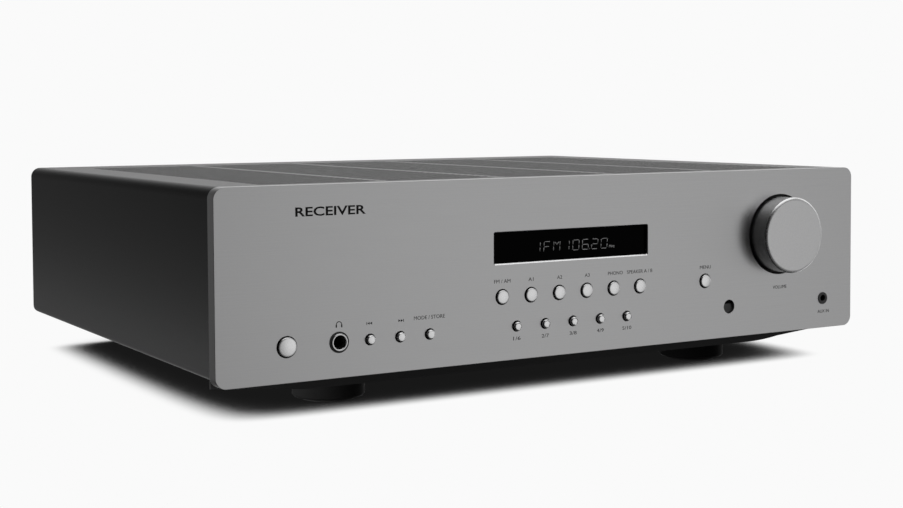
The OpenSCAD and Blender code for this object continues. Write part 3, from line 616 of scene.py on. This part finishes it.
def remote_lens():
    """Smoked lens set back in its hole, with a black plate over its upper part that is painted shade from
    the hole's upper lip.
    """
    set_back = -1.6 * MM
    edge = SENSOR_R - 0.03 * MM
    path = [(0, set_back, 0), (edge * 0.6, set_back - 0.06 * MM, 0), (edge, set_back - 0.2 * MM, 0.1 * MM),
            (edge, -SUB_Z, 0), (0, -SUB_Z, 0)]
    lathe("remote_lens", path, SENSOR_AT, BODY, "acrylic", ["remote_window"], materials=[LENS_GREY])
    # Black plate over the upper part of the lens: painted shade where the hole's upper lip would shade it
    bm = bmesh.new()
    arc = [math.radians(a) for a in range(25, 156, 10)]
    shade = [(SENSOR_AT[0] + edge * math.cos(a), SENSOR_AT[1] + edge * math.sin(a)) for a in arc]
    add_prism(bm, shade, FRONT_Y - set_back - 0.1 * MM, FRONT_Y - set_back + 0.1 * MM)
    place("remote_lens_painted_shade", bm, BODY, "acrylic")


# ------------------------------------------------------------------ flat shapes on the front

INK_T = 0.03 * MM
INK_SINK = 0.01 * MM


def add_prism(bm, outline, y_front, y_back):
    """A flat shape in the XZ plane, given its thickness between two planes."""
    front = [bm.verts.new((x, y_front, z)) for x, z in outline]
    back = [bm.verts.new((x, y_back, z)) for x, z in outline]
    bm.faces.new(front)
    bm.faces.new(list(reversed(back)))
    bridge(bm, front, back)


def add_stroke(bm, points, width, y_front, y_back):
    """A line of even width through points."""
    left, right = [], []
    for i, point in enumerate(points):
        before = Vector(points[max(i - 1, 0)])
        after = Vector(points[min(i + 1, len(points) - 1)])
        along = (after - before).normalized()
        across = Vector((-along.y, along.x)) * width / 2
        left.append(Vector(point) + across)
        right.append(Vector(point) - across)
    add_prism(bm, [tuple(p) for p in left + right[::-1]], y_front, y_back)


def legend(name, words, x, z, width, height, weight=0.0, side=-1, plane=None, material=None):
    """A printed legend: raised letters of a given width and height, centred at x and z."""
    curve = bpy.data.curves.new(name, "FONT")
    curve.body = words
    curve.offset = weight
    curve.extrude = 0.1
    curve.resolution_u = 3
    text = bpy.data.objects.new(name, curve)
    bpy.context.scene.collection.objects.link(text)
    bpy.context.view_layer.update()
    mesh = bpy.data.meshes.new_from_object(text.evaluated_get(bpy.context.evaluated_depsgraph_get()))
    bpy.data.objects.remove(text)
    bpy.data.curves.remove(curve)
    us = [v.co.x for v in mesh.vertices]
    vs = [v.co.y for v in mesh.vertices]
    scale_u = width / (max(us) - min(us))
    scale_v = height / (max(vs) - min(vs))
    mid_u = (max(us) + min(us)) / 2
    mid_v = (max(vs) + min(vs)) / 2
    base = FRONT_Y if plane is None else plane
    for vert in mesh.vertices:
        out = INK_T if vert.co.z > 0 else -INK_SINK
        across = (vert.co.x - mid_u) * scale_u * -side
        vert.co = Vector((x + across, base + side * out, z + (vert.co.y - mid_v) * scale_v))
    mesh.name = name
    mesh.materials.clear()
    mesh.materials.append(material or LEGEND_INK)
    obj = bpy.data.objects.new(name, mesh)
    bpy.context.scene.collection.objects.link(obj)
    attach(obj, BODY)


def front_legends():
    """Dark printed words and numbers over and under the controls."""
    upper = 63.8 * MM
    lower = 31.7 * MM
    tall = 2.0 * MM
    rows = [("sources_radio", "FM / AM", -47.4, upper, 10.6), ("sources_a1", "A1", -28.6, upper, 3.4),
            ("sources_a2", "A2", -9.4, upper, 3.4), ("sources_a3", "A3", 9.6, upper, 3.4),
            ("sources_phono", "PHONO", 29.4, upper, 10.5), ("speakers", "SPEAKER A / B", 46.9, upper, 18.4),
            ("menu", "MENU", 95.9, upper - 0.4 * MM, 8.4), ("mode", "MODE / STORE", -93.4, 47.6 * MM, 19),
            ("volume", "VOLUME", 154.9, 47.9 * MM, 11.2), ("aux_in", "AUX IN", 191.5, 30.3 * MM, 9.6)]
    for i in range(1, 6):
        x = middle(f"preset_button_{i}")[0] / MM
        rows.append((f"preset_{i}", f"{i}/{i + 5}", x, lower, 4.8 if i < 5 else 6.4))
    for name, words, x, z, width in rows:
        legend("legend_" + name, words, x * MM, z, width * MM, tall)
    title_x, title_z, title_w, title_tall = (v * MM for v in (-151, 106.4, 40, 4.8))
    legend("legend_title", "RECEIVER", title_x, title_z, title_w, title_tall, weight=0.02)


def icons():
    """The headphone mark over its socket and the two skip marks over theirs."""
    bm = bmesh.new()
    low, high = FRONT_Y - INK_T, FRONT_Y + INK_SINK
    x, z = PHONES_AT[0], 47.6 * MM
    band_r = 1.55 * MM
    arch = [(x + band_r * math.cos(a), z + band_r * math.sin(a))
            for a in (math.pi * k / 12 for k in range(13))]
    add_stroke(bm, arch, 0.4 * MM, low, high)
    for s in (-1, 1):
        pad = round_rect(0.75 * MM, 1.6 * MM, 0.3 * MM, 3)
        add_prism(bm, [(x + s * band_r + u, z - 0.7 * MM + v) for u, v in pad], low, high)
    for name, s in (("skip_back_button", -1), ("skip_forward_button", 1)):
        x, z = middle(name)[0], 47.0 * MM
        tip, half = 1.25 * MM, 0.75 * MM
        bar = x + s * 1.95 * MM
        add_prism(bm, [(bar - 0.17 * MM, z - half), (bar + 0.17 * MM, z - half),
                       (bar + 0.17 * MM, z + half), (bar - 0.17 * MM, z + half)], low, high)
        for k in (0.3, -1.15):
            base = x + s * k * MM
            add_prism(bm, [(base, z - half), (base, z + half), (base + s * tip, z)], low, high)
    place("icon_marks", bm, BODY, "socket", materials=[LEGEND_INK])


# Strokes of the readout's characters on a grid 2 wide and 4 high
STROKES = {
    "1": [((1.9, 0.3), (1.9, 1.7)), ((1.9, 2.3), (1.9, 3.7))],
    "F": [((0, 0.2), (0, 1.8)), ((0, 2.2), (0, 3.8)), ((0.2, 4), (1.8, 4)), ((0.2, 2), (1.6, 2))],
    "M": [((0, 0.2), (0, 1.8)), ((0, 2.2), (0, 3.8)), ((2, 0.2), (2, 1.8)), ((2, 2.2), (2, 3.8)),
          ((0.5, 3.6), (0.9, 2.6)), ((1.5, 3.6), (1.1, 2.6))],
    "0": [((0, 0.2), (0, 1.8)), ((0, 2.2), (0, 3.8)), ((2, 0.2), (2, 1.8)), ((2, 2.2), (2, 3.8)),
          ((0.2, 0), (1.8, 0)), ((0.2, 4), (1.8, 4))],
    "6": [((0, 0.2), (0, 1.8)), ((0, 2.2), (0, 3.8)), ((2, 0.2), (2, 1.8)), ((0.2, 0), (1.8, 0)),
          ((0.2, 2), (1.8, 2)), ((0.2, 4), (1.8, 4))],
    "2": [((0, 0.2), (0, 1.8)), ((2, 2.2), (2, 3.8)), ((0.2, 0), (1.8, 0)), ((0.2, 2), (1.8, 2)),
          ((0.2, 4), (1.8, 4))],
}


def readout():
    """Segments of the display: the band, the preset number and the frequency, in a pale grey that is
    painted glow of the lit readout.
    """
    bm = bmesh.new()
    plane = FRONT_Y + WINDOW_SET
    low, high = plane - 0.04 * MM, plane + INK_SINK
    pitch, wide, tall = 6.55 * MM, 4.2 * MM, 5.6 * MM
    left, base = -25.3 * MM, 78.3 * MM
    lean = 0.08
    stroke_w = 0.32 * MM
    for k, character in enumerate("1FM10620"):
        for ends in STROKES[character]:
            points = []
            for u, v in ends:
                up = v / 4 * tall
                points.append((left + k * pitch + u / 2 * wide + lean * up, base + up))
            add_stroke(bm, points, stroke_w, low, high)
    dot = left + 5 * pitch + wide + 0.9 * MM
    add_prism(bm, [(dot, base), (dot + stroke_w, base), (dot + stroke_w, base + stroke_w),
                   (dot, base + stroke_w)], low, high)
    place("readout_segments", bm, BODY, "tube", materials=[SEGMENT_PAINTED_GLOW])
    legend("readout_unit", "MHz", 28.3 * MM, base + 0.9 * MM, 4.0 * MM, 1.5 * MM, plane=plane,
           material=SEGMENT_PAINTED_GLOW)


# ------------------------------------------------------------------ rear sockets and legends

PHONO_X = [34 + 20 * i for i in range(6)]
PHONO_Z = (38, 56)
PHONO_R = 4.15 * MM
PHONO_OUT = 9 * MM


def phono_shells():
    """Plated shell and coloured insert of every phono socket, white on top and red below."""
    colours = (MATERIALS["cap_red"], INSERT_WHITE)
    for i, x in enumerate(PHONO_X):
        for z, colour in zip(PHONO_Z, colours):
            at = (x * MM, z * MM)
            tag = f"{i + 1}_{'low' if z == PHONO_Z[0] else 'high'}"
            shell = ring_path(PHONO_R + 0.06 * MM, PHONO_R - 0.75 * MM, 1.02 * MM, PHONO_OUT + 0.05 * MM,
                              0.2 * MM, 0.1 * MM)
            lathe("phono_shell_" + tag, shell, at, BODY, "phono", y=REAR_Y, out_y=1, steps=40,
                  materials=[MATERIALS["chrome"]])
            insert = ring_path(PHONO_R - 0.85 * MM, 1.75 * MM, PHONO_OUT - 0.6 * MM, PHONO_OUT + 0.3 * MM,
                               0.2 * MM, 0.15 * MM)
            lathe("phono_insert_" + tag, insert, at, BODY, "phono", y=REAR_Y, out_y=1, steps=40,
                  materials=[colour])


def rear_legends():
    """Pale printed words over the sockets on the back."""
    above = 66.5
    beside = PHONO_X[0] - 9.5
    rows = [("phono_in", "PHONO", PHONO_X[0], above, 10), ("line_1", "LINE 1", PHONO_X[1], above, 10),
            ("line_2", "LINE 2", PHONO_X[2], above, 10), ("line_3", "LINE 3", PHONO_X[3], above, 10),
            ("rec_out", "REC OUT", PHONO_X[4], above, 12), ("pre_out", "PRE OUT", PHONO_X[5], above, 12),
            ("left", "L", beside, PHONO_Z[1], 1.4), ("right", "R", beside, PHONO_Z[0], 1.8),
            ("fm", "FM 75", 186, 101, 9), ("am", "AM", 160, 104.5, 5)]
    for name, words, x, z, width in rows:
        legend("legend_" + name, words, x * MM, z * MM, width * MM, 2.2 * MM, side=1, plane=REAR_Y,
               material=LEGEND_PALE)


front_panel()
volume_knob()
buttons()
front_sockets()
remote_lens()
front_legends()
icons()
readout()
phono_shells()
rear_legends()

# ------------------------------------------------------------------ floor

FLOOR_HALF = 14
WHITE = 0.956
# Reach of the occlusion test that paints the floor's shadow, and the way its open sky leans
PAINTED_SHADOW_REACH = 0.15
PAINTED_SHADOW_AIM = (-0.03, -0.31, 0.95)
# How light the painted shadow leaves the floor at each share of open sky
PAINTED_SHADOW_STOPS = [(0.14, 0.0091), (0.195, 0.0212), (0.215, 0.0513), (0.25, 0.216), (0.315, 0.527),
               (0.42, 0.871), (0.50, WHITE)]


def glowing_floor_painted_shadow():
    """A floor that glows plain white, with a painted shadow, darker where an occlusion test finds that what
    stands on it shuts out the sky.
    """
    mesh = bpy.data.meshes.new("floor")
    corners = [(sx * FLOOR_HALF, sy * FLOOR_HALF, 0) for sx, sy in ((-1, -1), (1, -1), (1, 1), (-1, 1))]
    mesh.from_pydata(corners, [], [(0, 1, 2, 3)])
    obj = bpy.data.objects.new("floor", mesh)
    bpy.context.scene.collection.objects.link(obj)
    mat, tree, shader = new_material("floor_white_painted_shadow")
    tree.nodes.remove(shader)
    openness = tree.nodes.new("ShaderNodeAmbientOcclusion")
    openness.samples = 48
    openness.inputs["Distance"].default_value = PAINTED_SHADOW_REACH
    aim = add_node(tree, "ShaderNodeCombineXYZ", X=PAINTED_SHADOW_AIM[0], Y=PAINTED_SHADOW_AIM[1], Z=PAINTED_SHADOW_AIM[2])
    tree.links.new(aim.outputs["Vector"], openness.inputs["Normal"])
    tone = tree.nodes.new("ShaderNodeValToRGB")
    ramp = tone.color_ramp
    while len(ramp.elements) < len(PAINTED_SHADOW_STOPS):
        ramp.elements.new(0.5)
    for element, (at, value) in zip(ramp.elements, PAINTED_SHADOW_STOPS):
        element.position = at
        element.color = (value, value, value, 1)
    glow = tree.nodes.new("ShaderNodeEmission")
    # The occlusion test sets the tone of the glow: the floor's shadow is painted, not cast by the lamps
    tree.links.new(openness.outputs["AO"], tone.inputs["Fac"])
    tree.links.new(tone.outputs["Color"], glow.inputs["Color"])
    # Clear from below, so that the underside can be seen
    clear = tree.nodes.new("ShaderNodeBsdfTransparent")
    which = tree.nodes.new("ShaderNodeNewGeometry")
    surface = tree.nodes.new("ShaderNodeMixShader")
    tree.links.new(which.outputs["Backfacing"], surface.inputs["Fac"])
    tree.links.new(glow.outputs["Emission"], surface.inputs[1])
    tree.links.new(clear.outputs["BSDF"], surface.inputs[2])
    tree.links.new(surface.outputs["Shader"], tree.nodes["Material Output"].inputs["Surface"])
    mesh.materials.append(mat)
    obj.visible_glossy = False
    obj.visible_diffuse = False


# ------------------------------------------------------------------ light

# What shiny surfaces see: (direction, cosine where a glow starts, cosine where it is full, strength)
ROOM_BASE = 0.012
ROOM_GLOWS = [
    ((0.54, -0.84, -0.08), 0.92, 1.0, 0.46),
    ((0.56, -0.82, -0.08), 0.40, 1.0, 0.20),
    ((0.80, 0.55, 0.10), 0.30, 0.95, 1.1),
    ((0.2, -0.2, 0.93), 0.72, 0.95, 1.0),
    ((-0.55, 0.83, 0.0), 0.75, 1.0, 0.15),
]
DIFFUSE_LEVEL = 0.06


def add_world():
    """White to the camera, a soft even dome for diffuse light, and a darker room for reflections."""
    world = bpy.data.worlds.new("studio")
    bpy.context.scene.world = world
    world.use_nodes = True
    tree = world.node_tree
    tree.nodes.clear()
    where = tree.nodes.new("ShaderNodeTexCoord")
    total = None
    for direction, start, full, strength in ROOM_GLOWS:
        facing = tree.nodes.new("ShaderNodeVectorMath")
        facing.operation = "DOT_PRODUCT"
        facing.inputs[1].default_value = Vector(direction).normalized()
        tree.links.new(where.outputs["Generated"], facing.inputs[0])
        glow = tree.nodes.new("ShaderNodeMapRange")
        glow.interpolation_type = "SMOOTHERSTEP"
        for key, value in (("From Min", start), ("From Max", full), ("To Min", 0), ("To Max", strength)):
            glow.inputs[key].default_value = value
        tree.links.new(facing.outputs["Value"], glow.inputs["Value"])
        add = tree.nodes.new("ShaderNodeMath")
        add.operation = "ADD"
        add.inputs[1].default_value = ROOM_BASE
        if total:
            tree.links.new(total, add.inputs[1])
        tree.links.new(glow.outputs["Result"], add.inputs[0])
        total = add.outputs["Value"]
    white = tree.nodes.new("ShaderNodeBackground")
    white.inputs["Color"].default_value = (WHITE, WHITE, WHITE, 1)
    dome = add_node(tree, "ShaderNodeBackground", Strength=DIFFUSE_LEVEL)
    dome.inputs["Color"].default_value = (1, 1, 1, 1)
    room = tree.nodes.new("ShaderNodeBackground")
    room.inputs["Color"].default_value = (1, 1, 1, 1)
    tree.links.new(total, room.inputs["Strength"])
    path = tree.nodes.new("ShaderNodeLightPath")
    shiny = tree.nodes.new("ShaderNodeMixShader")
    tree.links.new(path.outputs["Is Glossy Ray"], shiny.inputs["Fac"])
    tree.links.new(dome.outputs["Background"], shiny.inputs[1])
    tree.links.new(room.outputs["Background"], shiny.inputs[2])
    seen = tree.nodes.new("ShaderNodeMixShader")
    tree.links.new(path.outputs["Is Camera Ray"], seen.inputs["Fac"])
    tree.links.new(shiny.outputs["Shader"], seen.inputs[1])
    tree.links.new(white.outputs["Background"], seen.inputs[2])
    out = tree.nodes.new("ShaderNodeOutputWorld")
    tree.links.new(seen.outputs["Shader"], out.inputs["Surface"])


def area_light(name, at, target, size, power, glossy=True):
    """A softbox facing a point."""
    data = bpy.data.lights.new(name, "AREA")
    data.shape = "RECTANGLE"
    data.size, data.size_y = size
    data.energy = power
    obj = bpy.data.objects.new(name, data)
    obj.location = at
    obj.rotation_euler = (Vector(target) - Vector(at)).to_track_quat("-Z", "Y").to_euler()
    obj.visible_camera = False
    obj.visible_glossy = glossy
    bpy.context.scene.collection.objects.link(obj)


def add_lights():
    """Softboxes in front and behind, and a low one that lifts the foot of the cover's left side."""
    area_light("key", (0.7, -1.9, 2.0), (0, -0.16, 0.06), (1.0, 0.7), 45, glossy=False)
    area_light("back_key", (0.9, 2.3, 0.7), (0, 0.16, 0.06), (1.0, 0.7), 40, glossy=False)
    area_light("low_card", (-0.262, 0.0, 0.012), (-0.215, 0.0, 0.045), (0.5, 0.02), 0.58, glossy=False)


glowing_floor_painted_shadow()
add_world()
add_lights()
bpy.context.scene.view_settings.view_transform = "Standard"
